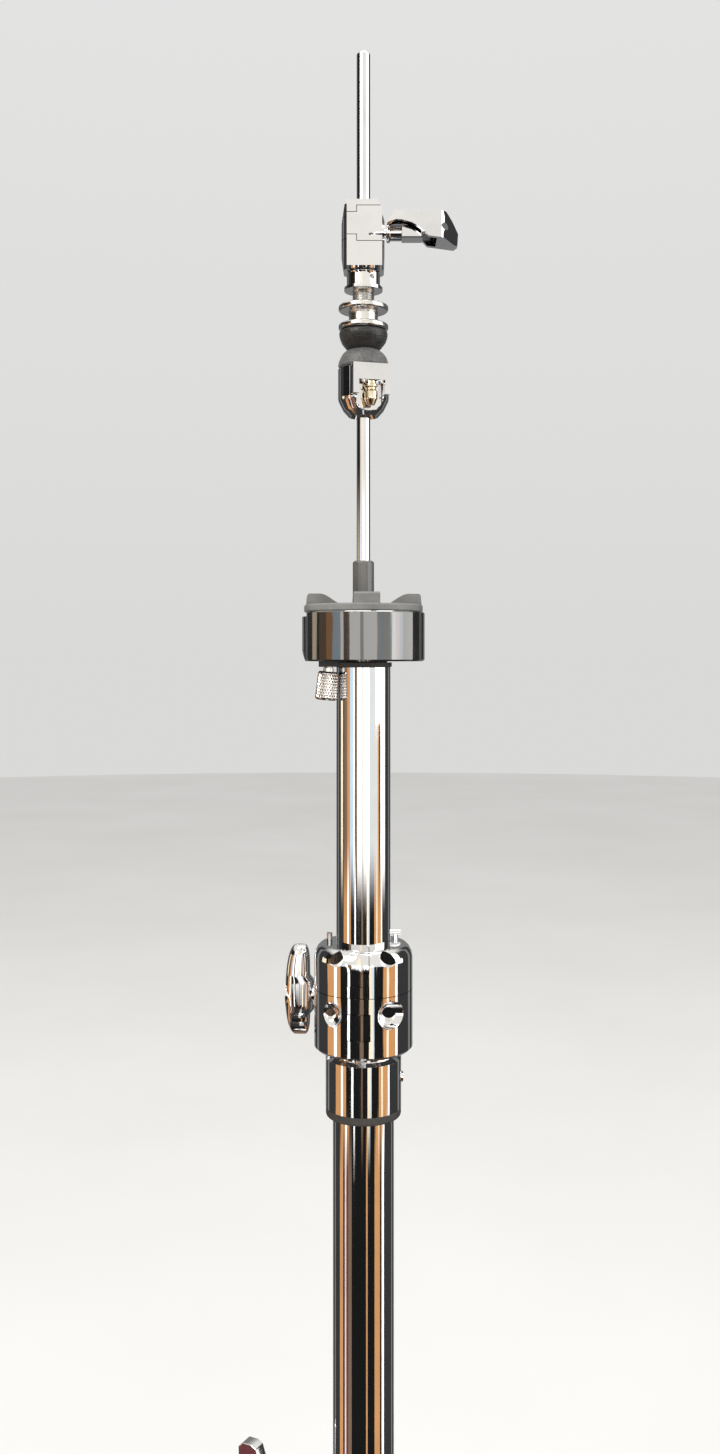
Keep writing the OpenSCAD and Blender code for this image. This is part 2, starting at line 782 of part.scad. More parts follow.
// Clutch: the outline of its cast body, seen from above
module clutch_block(z0, z1) {
    intersection() {
        union() {
            translate([0, 0, z0]) cylinder(r = clutch_r, h = z1 - z0, $fn = 96);
            block(-7.7, 8.6, -clutch_front, 0, z0, z1);
        }
        plate_xz([[-9.2, 860], [9.2, 860], [9.8, 880], [9.8, 897], [6.5, clutch_top_z],
            [-8.8, clutch_top_z], [-10.4, 895], [-10.4, 881], [-9.2, clutch_z]], -20, 20);
    }
}

module clutch_body() {
    color("#dcdfe3") difference() {
        union() {
            clutch_block(clutch_z, 885 - clutch_seam);
            clutch_block(901 + clutch_seam, clutch_top_z);
            translate([0, 0, clutch_z]) cylinder(r = 7, h = 30, $fn = 96);
            intersection() {
                clutch_block(clutch_z, clutch_top_z);
                union() {
                    block(-12, -3 - clutch_seam, -20, 20, 880, 888 - clutch_seam);
                    block(-12, -3 - clutch_seam, -20, 20, 898 + clutch_seam, 903);
                }
            }
        }
        translate([0, 0, clutch_z - 1]) cylinder(r = rod_bore, h = 40, $fn = 64);
    }
}

// Clamping band in the middle of the clutch body
module clutch_band() {
    color("#dcdfe3") difference() {
        union() {
            intersection() {
                clutch_block(clutch_z, clutch_top_z);
                union() {
                    block(-12, 12, -20, 20, 888, 898);
                    block(-3, 12, -20, 20, 885, 901);
                }
            }
            rod_x(3.6, 5, 9.6, wing_bolt_y, wing_bolt_z);
        }
        translate([0, 0, clutch_z]) cylinder(r = band_bore, h = 40, $fn = 96);
        rod_x(2 + slide_fit, -1, 12, wing_bolt_y, wing_bolt_z);
        block(-12, -6, -0.5, 0.5, 880, 910);
        rod_y(1, -20, -11, 3.4, 887.6);
    }
}

module clutch_tube() {
    turns = floor((washer_z - nut_1_top_z) / thread_pitch);
    threads = [
        for (i = [0 : turns - 1])
            let (z = nut_1_top_z + i * thread_pitch)
            each [[thread_r, z + 0.1], [thread_r - 0.5, z + thread_pitch * 0.55]]
    ];
    outline = concat(
        [[rod_bore, bottom_nut_z + 4], [thread_r, bottom_nut_z + 4]],
        threads,
        [[thread_r, washer_z], [thread_r, clutch_z], [rod_bore, clutch_z]]
    );
    color("#b9bcc2") turned(outline);
}

// Collar nut and washer under the clutch body
module clutch_collar() {
    color("#c9ccd2") difference() {
        turned([[thread_r + 0.02, washer_z], [9, washer_z], [9, collar_z - 0.2],
            [7.8, collar_z], [7.8, clutch_z - 0.7], [7.3, clutch_z - 0.2],
            [thread_r + 0.02, clutch_z - 0.2]]);
        rotate([0, 0, 32]) rod_y(1.2, -10, 0, 0, 870.2);
    }
}

module upper_lock_nut() {
    r = lock_nut_d / 2;
    color("#eceef0") turned([[thread_bore, nut_1_z + 0.1], [6.8, nut_1_z + 0.1], [6.8, 855.3],
        [r - 0.7, 855.3], [r, 856], [r, nut_1_top_z - 0.7], [r - 0.7, nut_1_top_z],
        [thread_bore, nut_1_top_z]]);
}

module lower_lock_nut() {
    r = lock_nut_d / 2;
    color("#eceef0") turned([[thread_bore, nut_2_z], [r - 0.7, nut_2_z], [r, nut_2_z + 0.7],
        [r, nut_2_top_z - 0.7], [r - 0.7, nut_2_top_z], [thread_bore, nut_2_top_z]]);
}

module upper_felt() {
    r = felt_d / 2;
    color("#161617") turned([[thread_r + 0.3, felt_split_z + 0.1], [7.6, felt_split_z + 0.1],
        [8.3, 838], [r - 1.6, 840.5], [r - 0.6, 843], [r - 0.4, 845.4], [r - 1.2, nut_2_z - 0.3],
        [thread_r + 0.3, nut_2_z - 0.3]]);
}

module lower_felt() {
    r = felt_d / 2;
    color("#4a4b4d") turned([[thread_r + 0.3, felt_z], [r - 0.8, felt_z], [r, felt_z + 0.8],
        [r - 0.2, 831.2], [r - 1, 833.6], [r - 2.4, 835.6], [r - 4, 836.8],
        [r - 5, felt_split_z - 0.1], [thread_r + 0.3, felt_split_z - 0.1]]);
}

// Nut at the bottom of the clutch, with a lug that holds a key screw
module bottom_nut() {
    color("#dcdfe3") difference() {
        union() {
            turned([[3, 812], [7, bottom_nut_z], [9.4, 808.6], [11.6, 813], [11.9, 814.5],
                [11.9, bottom_nut_top_z - 0.6], [11.3, bottom_nut_top_z],
                [3, bottom_nut_top_z]]);
            rotate([0, 0, 16]) block(-8.8, 8.8, -14, 0, 814.5, bottom_nut_top_z);
        }
        translate([0, 0, 800]) cylinder(r = thread_bore, h = 40, $fn = 96);
        rotate([0, 0, 16]) block(-6, 6.4, -16, -8.6, 800, 821);
        rotate([0, 0, 16]) rod_y(1.6, -9, -4, 0.2, 814.6);
    }
}

module nut_key() {
    color("#d8c9a0") rotate([0, 0, 16]) {
        translate([0.2, -11.8, 0]) turned([[0, 809.6], [1.8, 809.6], [3, 812.2], [3.1, 815.6],
            [2.3, 816.4], [2.3, 817.4], [3.1, 817.8], [3.1, 818.8], [2.3, 819.2], [2.3, 820.4],
            [0, 820.4]]);
        rod_y(1.5, -10.4, -6, 0.2, 814.6);
    }
}

// Wing bolt of the clutch
module wing_bolt() {
    color("#dcdfe3") {
        rod_x(2, -0.6, 12, wing_bolt_y, wing_bolt_z);
        rod_x(4.2, 10.7, 12.2, wing_bolt_y, wing_bolt_z);
        rod_x(3.4, 12, 17.6, wing_bolt_y, wing_bolt_z);
    }
}

module clutch_wing() {
    side_outline = [
        [10.8, 891.4], [13.9, 896.9], [38, 896.7], [41, 894], [44, 890], [43.6, 884.3],
        [42, 883.6], [29.6, 885.3], [27.9, 887.2], [25.2, 889.4], [22.2, 891.2], [17.3, 892.6],
        [14.9, 892.7]
    ];
    plan = [
        [10.7, -18.4], [35.6, -18.4], [37, -17.4], [44.2, -5.2], [44.2, -3], [42, -1.2],
        [10.7, -1.2]
    ];
    color("#dcdfe3") difference() {
        union() {
            intersection() {
                plate_xz(side_outline, -20, 0);
                translate([0, 0, 870]) linear_extrude(40) polygon(plan);
            }
            intersection() {
                rod_x(5, 17.7, 27, wing_bolt_y, wing_bolt_z);
                block(17, 30, -20, 0, 886, 895);
            }
        }
        block(27.5, 33.5, -16, -3.6, 880, 894.4);
        block(13, 26.5, -16.2, -13.6, 880, 894.6);
        block(13, 26.5, -5, -3, 880, 894.6);
        rod_y(1.6, -22, 0, 37.2, 889.9);
        rod_x(4.4, 9, 17.7, wing_bolt_y, wing_bolt_z);
    }
}

base_frame();
base_pads();
heel_plate();
radius_rods();
heel_pin();
lower_tube();
rod_bush();
brace_collar();
brace_pins();
spring_dial();
return_spring();
footboard();
chain_bracket();
drive_chain();
chain_yoke();
lower_rod();
spring_collar();
upper_rod();
leg_collar();
collar_lugs();
leg_pins();
collar_wing();
leg_1();
leg_2();
leg_3();
foot_1();
foot_2();
foot_3();
brace_1();
brace_2();
brace_3();
clamp_sleeve();
bushing_ring();
clamp_left();
clamp_right();
clamp_hinge_pin();
clamp_bolt();
clamp_wing();
upper_tube();
memory_lock_left();
memory_lock_right();
memory_bolt();
seat_base();
rod_guide();
seat_cup();
seat_rubber();
tilt_screw();
clutch_body();
clutch_band();
clutch_tube();
clutch_collar();
upper_lock_nut();
lower_lock_nut();
upper_felt();
lower_felt();
bottom_nut();
nut_key();
wing_bolt();
clutch_wing();
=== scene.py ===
"""Looks of the hi-hat stand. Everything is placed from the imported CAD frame, in metres."""

import json
import math

import bmesh
import bpy
from mathutils import Matrix, Vector, noise

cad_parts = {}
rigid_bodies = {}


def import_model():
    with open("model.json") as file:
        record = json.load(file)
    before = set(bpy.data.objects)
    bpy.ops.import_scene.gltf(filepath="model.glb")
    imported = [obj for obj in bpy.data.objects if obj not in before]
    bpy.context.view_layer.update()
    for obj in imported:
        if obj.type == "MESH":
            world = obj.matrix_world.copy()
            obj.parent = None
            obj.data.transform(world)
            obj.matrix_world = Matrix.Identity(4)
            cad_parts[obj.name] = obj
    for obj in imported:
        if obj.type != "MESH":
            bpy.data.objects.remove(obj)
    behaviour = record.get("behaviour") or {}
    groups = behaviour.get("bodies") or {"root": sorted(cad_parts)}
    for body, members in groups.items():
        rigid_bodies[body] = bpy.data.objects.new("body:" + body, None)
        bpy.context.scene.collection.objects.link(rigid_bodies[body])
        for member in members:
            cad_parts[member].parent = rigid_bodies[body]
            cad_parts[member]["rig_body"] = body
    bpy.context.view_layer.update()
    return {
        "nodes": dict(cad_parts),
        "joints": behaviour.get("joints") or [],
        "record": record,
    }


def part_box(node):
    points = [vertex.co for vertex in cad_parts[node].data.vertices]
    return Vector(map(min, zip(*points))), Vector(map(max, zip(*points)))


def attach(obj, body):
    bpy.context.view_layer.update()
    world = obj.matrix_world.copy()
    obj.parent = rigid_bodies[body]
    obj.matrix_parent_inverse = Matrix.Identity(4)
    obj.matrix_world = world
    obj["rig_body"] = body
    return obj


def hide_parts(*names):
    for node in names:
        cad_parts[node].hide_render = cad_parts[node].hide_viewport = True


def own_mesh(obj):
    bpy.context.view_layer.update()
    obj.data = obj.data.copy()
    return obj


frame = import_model()
NODES = frame["nodes"]
MM = 0.001
FACET_SPAN = (0.5, 17.6)  # degrees that a facet of a turned CAD surface may span
FACET_LEAN = 0.6  # degrees that its normal may lean from the radius through its middle
FINE_FACET = 3  # degrees that a facet of a refined surface spans


# ---------------------------------------------------------------- materials

class Surface:
    """A Principled material on object coordinates, with short calls for its procedural inputs."""

    def __init__(self, name, **constants):
        self.material = bpy.data.materials.new(name)
        self.material.use_nodes = True
        self.tree = self.material.node_tree
        self.tree.nodes.clear()
        self.shader = self.add("ShaderNodeBsdfPrincipled")
        output = self.add("ShaderNodeOutputMaterial")
        self.link(self.shader.outputs["BSDF"], output.inputs["Surface"])
        self.coords = self.add("ShaderNodeTexCoord").outputs["Object"]
        self.height = None
        for socket, value in constants.items():
            self.shader.inputs[socket.replace("_", " ")].default_value = value

    def add(self, kind, **settings):
        node = self.tree.nodes.new(kind)
        for key, value in settings.items():
            setattr(node, key, value)
        return node

    def link(self, source, target):
        self.tree.links.new(source, target)

    def noise(self, size, stretch=(1, 1, 1), detail=4, roughness=0.55):
        """Noise with features about `size` millimetres across, drawn out by `stretch`."""
        mapping = self.add("ShaderNodeMapping")
        mapping.inputs["Scale"].default_value = [1 / s for s in stretch]
        texture = self.add("ShaderNodeTexNoise")
        texture.inputs["Scale"].default_value = 1 / (size * MM)
        texture.inputs["Detail"].default_value = detail
        texture.inputs["Roughness"].default_value = roughness
        self.link(self.coords, mapping.inputs["Vector"])
        self.link(mapping.outputs["Vector"], texture.inputs["Vector"])
        return texture.outputs["Fac"]

    def ramp(self, factor, *stops):
        """A value or colour ramp from (position, value or colour) stops."""
        node = self.add("ShaderNodeValToRGB")
        elements = node.color_ramp.elements
        while len(elements) < len(stops):
            elements.new(0.5)
        for element, (position, value) in zip(elements, stops):
            element.position = position
            colour = value if hasattr(value, "__len__") else (value, value, value)
            element.color = (*colour, 1)
        self.link(factor, node.inputs["Fac"])
        return node.outputs["Color"]

    def math(self, operation, a, b):
        node = self.add("ShaderNodeMath", operation=operation)
        for socket, value in zip(node.inputs, (a, b)):
            if isinstance(value, (int, float)):
                socket.default_value = value
            else:
                self.link(value, socket)
        return node.outputs["Value"]

    def mix(self, factor, a, b):
        """Mixes two colours, each a socket or an RGB tuple."""
        node = self.add("ShaderNodeMix", data_type="RGBA")
        self.link(factor, node.inputs["Factor"])
        for socket, value in ((node.inputs[6], a), (node.inputs[7], b)):
            if hasattr(value, "is_linked"):
                self.link(value, socket)
            else:
                socket.default_value = (*value, 1)
        return node.outputs[2]

    def colour(self, source):
        self.link(source, self.shader.inputs["Base Color"])

    def roughness(self, source):
        self.link(source, self.shader.inputs["Roughness"])

    def bump(self, source, depth, strength=1.0):
        """Adds relief `depth` millimetres deep over any relief already there."""
        node = self.add("ShaderNodeBump")
        node.inputs["Strength"].default_value = strength
        node.inputs["Distance"].default_value = depth * MM
        self.link(source, node.inputs["Height"])
        if self.height:
            self.link(self.height, node.inputs["Normal"])
        self.height = node.outputs["Normal"]
        self.link(self.height, self.shader.inputs["Normal"])


def plated(name, light, dark, low, high, grain=(1, 1, 14), worn=0.5):
    """Plated or bare metal: handling smudges, hairline scratches along `grain` and fine pits."""
    s = Surface(name, Metallic=1.0)
    smudge = s.noise(26, detail=8, roughness=0.62)
    streak = s.noise(1.1, grain, detail=6, roughness=0.7)
    speck = s.noise(0.55, detail=3)
    tint = s.mix(s.ramp(smudge, (0.38, 0), (0.68, 1)), light, dark)
    s.colour(s.mix(s.ramp(speck, (0.68, 0), (0.74, worn)), tint, tuple(c * 0.45 for c in dark)))
    haze = s.ramp(smudge, (0.3, low), (0.72, high))
    s.roughness(s.math("ADD", haze, s.ramp(streak, (0.55, 0), (0.85, 0.09))))
    s.bump(streak, 0.006, 0.35)
    s.bump(smudge, 0.05, 0.12)
    return s.material


def moulded(name, light, dark, low, high, grain_size, relief, **gloss):
    """Moulded plastic or rubber: fine grain, patchy sheen, dust and pale scuffs."""
    s = Surface(name, **gloss)
    patch = s.noise(14, detail=7, roughness=0.6)
    grain = s.noise(grain_size, detail=3)
    scuff = s.noise(0.9, (9, 9, 1), detail=6, roughness=0.75)
    dust = s.noise(0.35, detail=2)
    base = s.mix(s.ramp(patch, (0.35, 0), (0.7, 1)), dark, light)
    base = s.mix(s.ramp(scuff, (0.66, 0), (0.8, 0.5)), base, tuple(c * 2.6 + 0.02 for c in light))
    s.colour(s.mix(s.ramp(dust, (0.72, 0), (0.8, 0.35)), base, (0.24, 0.235, 0.22)))
    s.roughness(s.ramp(patch, (0.3, low), (0.75, high)))
    s.bump(grain, relief, 0.8)
    s.bump(scuff, 0.02, 0.3)
    return s.material


def coated(name, light, dark):
    """Powder-coated casting: orange peel over a slightly uneven cast surface."""
    s = Surface(name, Coat_Weight=0.25, Coat_Roughness=0.3)
    patch = s.noise(30, detail=6)
    peel = s.noise(0.9, detail=2)
    cast = s.noise(7, detail=4)
    s.colour(s.mix(s.ramp(patch, (0.3, 0), (0.75, 1)), dark, light))
    s.roughness(s.ramp(patch, (0.3, 0.34), (0.75, 0.52)))
    s.bump(peel, 0.06, 0.7)
    s.bump(cast, 0.12, 0.4)
    return s.material


def felted(name, light, dark, polish):
    """Hard pressed felt: matted fibres in tufts, rubbed to the roughness `polish` in places."""
    s = Surface(name, Sheen_Weight=0.15, Sheen_Roughness=0.4)
    tuft = s.noise(1.6, detail=6, roughness=0.7)
    fibre = s.noise(0.22, (1, 1, 4), detail=5, roughness=0.8)
    lint = s.noise(0.5, (5, 1, 1), detail=3)
    base = s.mix(s.ramp(tuft, (0.32, 0), (0.7, 1)), dark, light)
    s.colour(s.mix(s.ramp(lint, (0.66, 0), (0.76, 0.55)), base, (0.2, 0.19, 0.18)))
    s.roughness(s.ramp(fibre, (0.3, polish), (0.7, polish + 0.22)))
    s.bump(fibre, 0.05, 0.7)
    s.bump(tuft, 0.1, 0.5)
    return s.material


MATERIALS = {
    "chrome": plated("chrome_plate", (0.86, 0.86, 0.87), (0.76, 0.76, 0.78), 0.02, 0.07),
    "nickel_nut": plated("bright_nickel", (0.8, 0.79, 0.77), (0.7, 0.69, 0.67), 0.16, 0.3,
                         grain=(8, 8, 1)),
    "steel": plated("zinc_steel", (0.68, 0.68, 0.66), (0.5, 0.5, 0.5), 0.18, 0.34),
    "spring_steel": plated("spring_wire", (0.4, 0.4, 0.41), (0.26, 0.25, 0.24), 0.28, 0.45),
    "brass": plated("aged_brass", (0.8, 0.72, 0.55), (0.62, 0.52, 0.36), 0.1, 0.26),
    "cast_aluminium": plated("satin_aluminium", (0.66, 0.66, 0.67), (0.53, 0.53, 0.55), 0.3, 0.46,
                             grain=(1, 16, 1), worn=0.7),
    "black_cast": coated("powder_coat", (0.035, 0.035, 0.037), (0.018, 0.018, 0.02)),
    "black_rubber": moulded("black_rubber", (0.035, 0.034, 0.033), (0.018, 0.018, 0.018),
                            0.6, 0.85, 0.4, 0.05),
    "grey_rubber": moulded("grey_rubber", (0.24, 0.238, 0.23), (0.15, 0.15, 0.146),
                           0.36, 0.55, 0.5, 0.05),
    "black_plastic": moulded("gloss_black_plastic", (0.016, 0.015, 0.014), (0.008, 0.008, 0.008),
                             0.1, 0.22, 1.2, 0.01,
                             Coat_Weight=1.0, Coat_IOR=2.2, Coat_Roughness=0.05),
    "dull_plastic": moulded("dull_black_plastic", (0.055, 0.05, 0.045), (0.032, 0.03, 0.028),
                            0.5, 0.68, 0.6, 0.03),
    "dark_plastic": moulded("dark_nylon", (0.13, 0.125, 0.12), (0.08, 0.078, 0.075),
                            0.3, 0.42, 0.5, 0.03, Coat_Weight=0.6, Coat_Roughness=0.2),
    "nylon": moulded("pale_nylon", (0.62, 0.6, 0.54), (0.5, 0.48, 0.43), 0.35, 0.5, 0.6, 0.03),
    "black_felt": felted("black_felt", (0.03, 0.029, 0.028), (0.01, 0.01, 0.01), 0.26),
    "grey_felt": felted("grey_felt", (0.16, 0.158, 0.155), (0.075, 0.075, 0.075), 0.34),
}
SLOT_OF = {row["node"]: row["material_slot"] for row in frame["record"]["subparts"]}
# Nodes that look duller than the rest of their slot
LOOK_OF = {"bushing_ring": "dull_plastic", "seat_base": "dull_plastic"}


# ---------------------------------------------------------------- shapes

def finish_mesh(obj, node, angle=32):
    """Gives a mesh its node's material, smooth, with edges over `angle` degrees sharp."""
    obj.data.materials.clear()
    obj.data.materials.append(MATERIALS[LOOK_OF.get(node, SLOT_OF[node])])
    obj.data.polygons.foreach_set("use_smooth", [True] * len(obj.data.polygons))
    obj.data.set_sharp_from_angle(angle=math.radians(angle))


def piece_for(node, name, mesh):
    """Links a mesh as the piece that stands for a CAD node and rides on its body."""
    obj = bpy.data.objects.new(name, mesh)
    bpy.context.scene.collection.objects.link(obj)
    finish_mesh(obj, node)
    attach(obj, NODES[node]["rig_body"])
    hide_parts(node)
    return obj


def outline_of(node):
    """The [radius, height] outline of a CAD node that is turned about the tube axis."""
    cut = bmesh.new()
    cut.from_mesh(NODES[node].data)
    bmesh.ops.remove_doubles(cut, verts=cut.verts, dist=1e-6)
    for normal in ((1, 0, 0), (0, 1, 0)):
        made = bmesh.ops.bisect_plane(
            cut, geom=cut.verts[:] + cut.edges[:] + cut.faces[:], dist=1e-7, plane_co=(0, 0, 0),
            plane_no=normal, clear_inner=normal[0] == 1)
    follow = {}
    for e in made["geom_cut"]:
        if isinstance(e, bmesh.types.BMEdge):
            for v in e.verts:
                follow.setdefault(v, []).append(e.other_vert(v))
    ends = [v for v, near in follow.items() if len(near) == 1]
    here = max(ends or follow, key=lambda v: (v.co.z, v.co.x))
    line = []
    while here and here not in line:
        line.append(here)
        here = next((v for v in follow[here] if v not in line), None)
    points = [Vector((max(v.co.x, 0), v.co.z)) for v in line]
    cut.free()
    kept = []
    for i, p in enumerate(points):
        a, b = p - points[i - 1], points[(i + 1) % len(points)] - p
        if p.x < 1e-6 or abs(a.normalized().cross(b.normalized())) > 1e-3:
            kept.append(p)
    return kept


def rounded(points, radius, steps=4):
    """The outline with each corner off the axis rounded, as far as its sides are long enough."""
    out = []
    for i, p in enumerate(points):
        a, b = points[i - 1] - p, points[(i + 1) % len(points)] - p
        cut = min(radius, a.length * 0.4, b.length * 0.4)
        if p.x < 1e-6 or cut < 2e-5:
            out.append(p)
            continue
        start, end = p + a.normalized() * cut, p + b.normalized() * cut
        for k in range(steps + 1):
            t = k / steps
            out.append(start * (1 - t) ** 2 + p * 2 * t * (1 - t) + end * t ** 2)
    return out


def revolve(points, segments, shape=None):
    """A closed mesh turned about Z from a closed outline. `shape` may move each point."""
    bm = bmesh.new()
    rings = []
    for p in points:
        if p.x < 1e-6:
            rings.append([bm.verts.new((0, 0, p.y))])
            continue
        ring = []
        for k in range(segments):
            turn = 2 * math.pi * k / segments
            r, z = shape(p.x, p.y, turn) if shape else (p.x, p.y)
            ring.append(bm.verts.new((r * math.cos(turn), r * math.sin(turn), z)))
        rings.append(ring)
    for i, ring in enumerate(rings):
        other = rings[(i + 1) % len(rings)]
        for k in range(segments):
            a, b = ring[k % len(ring)], ring[(k + 1) % segments % len(ring)]
            c, d = other[(k + 1) % segments % len(other)], other[k % len(other)]
            corners = list(dict.fromkeys((a, b, c, d)))
            if len(corners) > 2:
                bm.faces.new(corners)
    bmesh.ops.recalc_face_normals(bm, faces=bm.faces)
    mesh = bpy.data.meshes.new("turned")
    bm.to_mesh(mesh)
    bm.free()
    return mesh


def subdivided(points, step):
    """The closed outline with extra points, so that no side is longer than `step`."""
    out = []
    for i, p in enumerate(points):
        q = points[(i + 1) % len(points)]
        n = max(1, math.ceil((q - p).length / step))
        out += [p.lerp(q, k / n) for k in range(n)]
    return out


def turn_again(node, corner, segments=128):
    """Stands a finely turned piece with rounded corners for a coarse CAD one."""
    points = rounded(outline_of(node), corner * MM)
    obj = piece_for(node, node + "_turned", revolve(points, segments))
    obj.modifiers.new("weights", "WEIGHTED_NORMAL").keep_sharp = True
    return obj


def felt(node, seed):
    """A felt ring with rounded edges, an uneven hand-cut outline and matted fibres."""
    points = subdivided(rounded(outline_of(node), 1.4 * MM, 6), 0.35 * MM)

    def matted(r, z, turn):
        at = Vector((r * math.cos(turn), r * math.sin(turn), z)) / MM
        soft = noise.noise(at * 0.22 + Vector((seed, 0, 0)))
        tuft = noise.noise(at * 1.1 + Vector((0, seed, 0)))
        fibre = noise.noise(at * 3.7)
        away = (soft * 0.22 + tuft * 0.12 + fibre * 0.07 - 0.12) * MM
        return r + away, z + noise.noise(at * 0.9 + Vector((0, 0, seed))) * 0.06 * MM

    piece_for(node, node + "_pressed", revolve(points, 200, matted))


def knurled_screw(node):
    """The tilt screw with a diamond-knurled grip, on the axis of its own joint."""
    joint = next(j for j in frame["joints"] if j["child"] == NODES[node]["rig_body"])
    low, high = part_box(node)
    axis = Vector(joint["axis"]).normalized()
    seat = Vector(joint["pos_m"])
    to_axis = Vector((0, 0, 1)).rotation_difference(axis).to_matrix().to_4x4()
    place = Matrix.Translation(seat) @ to_axis
    bottom = (low.z - seat.z) / axis.z + 0.4 * MM
    top = (high.z - seat.z) / axis.z
    grip = [(0, 0), (4.3, 0), (4.9, 0.5), (5.15, 1.1), (4.75, 12.4), (4.2, 13.2), (2.4, 13.3),
            (2.4, 14.9), (1.95, 15.1), (1.95, None), (0, None)]
    points = [Vector((r * MM, top if z is None else bottom + z * MM)) for r, z in grip]
    fine = subdivided(points, 0.18 * MM)
    knurl_start, knurl_end = bottom + 1.2 * MM, bottom + 12.2 * MM
    diamonds, pitch = 22, 1.35 * MM

    def knurl(r, z, turn):
        if r < 4.4 * MM or not knurl_start < z < knurl_end:
            return r, z
        climb = (z - knurl_start) / pitch * math.pi
        one = abs(math.sin(turn * diamonds / 2 + climb / 2))
        two = abs(math.sin(turn * diamonds / 2 - climb / 2))
        return r - 0.42 * MM * (1 - min(one, two) ** 0.7), z

    mesh = revolve(fine, diamonds * 12, knurl)
    mesh.transform(place)
    piece_for(node, node + "_knurled", mesh)


def skin(rings, name):
    """A closed mesh over rings of equally many points, with a cap on each end."""
    bm = bmesh.new()
    made = [[bm.verts.new(point) for point in ring] for ring in rings]
    for ring, other in zip(made, made[1:]):
        for k, corner in enumerate(ring):
            bm.faces.new((corner, other[k], other[k - 1], ring[k - 1]))
    bm.faces.new(made[0])
    bm.faces.new(made[-1])
    bmesh.ops.recalc_face_normals(bm, faces=bm.faces)
    mesh = bpy.data.meshes.new(name)
    bm.to_mesh(mesh)
    bm.free()
    return mesh


def coil_spring(node):
    """The return spring in round wire with closed end coils."""
    low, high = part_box(node)
    turns, steps, sides = 9, 40, 14
    wire = 1.1 * MM  # radius
    mean = high.x - wire
    closed = 2.3 * MM  # rise of each end coil, which nearly touches the next one
    open_rise = (high.z - low.z - 2 * wire - 2 * closed) / (turns - 2)
    rings = []
    for i in range(turns * steps + 1):
        t = i / steps
        z = low.z + wire + closed * (min(t, 1) + max(t - turns + 1, 0))
        z += open_rise * min(max(t - 1, 0), turns - 2)
        turn = 2 * math.pi * t
        ring = []
        for k in range(sides):
            around = 2 * math.pi * k / sides
            out = mean + wire * math.cos(around)
            ring.append((out * math.cos(turn), out * math.sin(turn), z + wire * math.sin(around)))
        rings.append(ring)
    obj = piece_for(node, node + "_coiled", skin(rings, "coil"))
    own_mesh(obj)


# The clamp's wing, in millimetres: pitch of its ridges, height of its rounded tip, its fullest and
# thinnest half thickness, and the height of the fullest one over its bolt
RIDGE, TIP, FULLEST, THINNEST, BROW = 4.2, 4.6, 6.4, 0.8, -5


def wing_sides(z, reach):
    """How far the left and right edge lie inside the box `z` over the bolt, in millimetres."""
    drawn_in = 1 - math.sqrt(max(1 - reach ** 6, 0.02))
    neck = min(max((abs(z) - 6.4) / 3.2, 0), 1)
    return (2.2 * reach ** 2 + 3.0 * drawn_in,
            2.0 * neck ** 2 * (3 - 2 * neck) + 2.6 * drawn_in)


def wing_depth(z, u, top):
    """Half thickness in millimetres, `u` from -1 to 1 across the wing."""
    crown = FULLEST + (z - BROW) * (-0.04 if z > BROW else 0.4)
    if z < -2 * RIDGE:
        crown -= 0.5 * math.sqrt(abs(math.sin(math.pi * z / RIDGE))) * (1 - u ** 4)
    tip = max(z - top + TIP, 0) / TIP
    rim = 1 + 3.2 * math.exp(-(z / 5) ** 2)
    full = max(rim, THINNEST + (crown - THINNEST) * math.sqrt(max(1 - u ** 2, 0)))
    return full * math.sqrt(max(1 - tip ** 2, 0.03))


def cast_wing(node, bolt, rows=96, columns=20):
    """The clamp's wing: one crowned casting, falling away below its bolt in three ridges."""
    low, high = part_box(node)
    axis_z = sum(corner.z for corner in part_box(bolt)) / 2
    middle_y = (low.y + high.y) / 2
    top, bottom = (high.z - axis_z) / MM, (low.z - axis_z) / MM
    across = [-math.cos(math.pi * k / columns) for k in range(columns + 1)]
    rings = []
    for i in range(rows + 1):
        z = bottom + (top - bottom) * (0.5 - 0.5 * math.cos(math.pi * i / rows))
        inset, other_inset = wing_sides(z, z / top if z > 0 else z / bottom)
        left, right = low.x + inset * MM, high.x - other_inset * MM
        centre, half_width = (left + right) / 2, (right - left) / 2
        line = [(centre + u * half_width, wing_depth(z, u, top) * MM) for u in across]
        level = axis_z + z * MM
        ring = [(x, middle_y - depth, level) for x, depth in line]
        rings.append(ring + [(x, middle_y + depth, level) for x, depth in reversed(line)])
    obj = piece_for(node, node + "_cast", skin(rings, "wing"))
    round_edges(obj, 0.3)


def azimuth(v):
    return math.degrees(math.atan2(v.y, v.x))


def is_turned(face):
    """Is this facet part of a surface turned about the tube axis?"""
    out = Vector((face.normal.x, face.normal.y, 0))
    if out.length < 0.1 or min(v.co.xy.length for v in face.verts) < 1e-5:
        return False
    middle = azimuth(face.verts[0].co)
    turns = [(azimuth(v.co) - middle + 180) % 360 - 180 for v in face.verts]
    spread = max(turns) - min(turns)
    centre = middle + (max(turns) + min(turns)) / 2
    lean = (azimuth(out) - centre + 90) % 180 - 90
    return FACET_SPAN[0] < spread < FACET_SPAN[1] and abs(lean) < FACET_LEAN


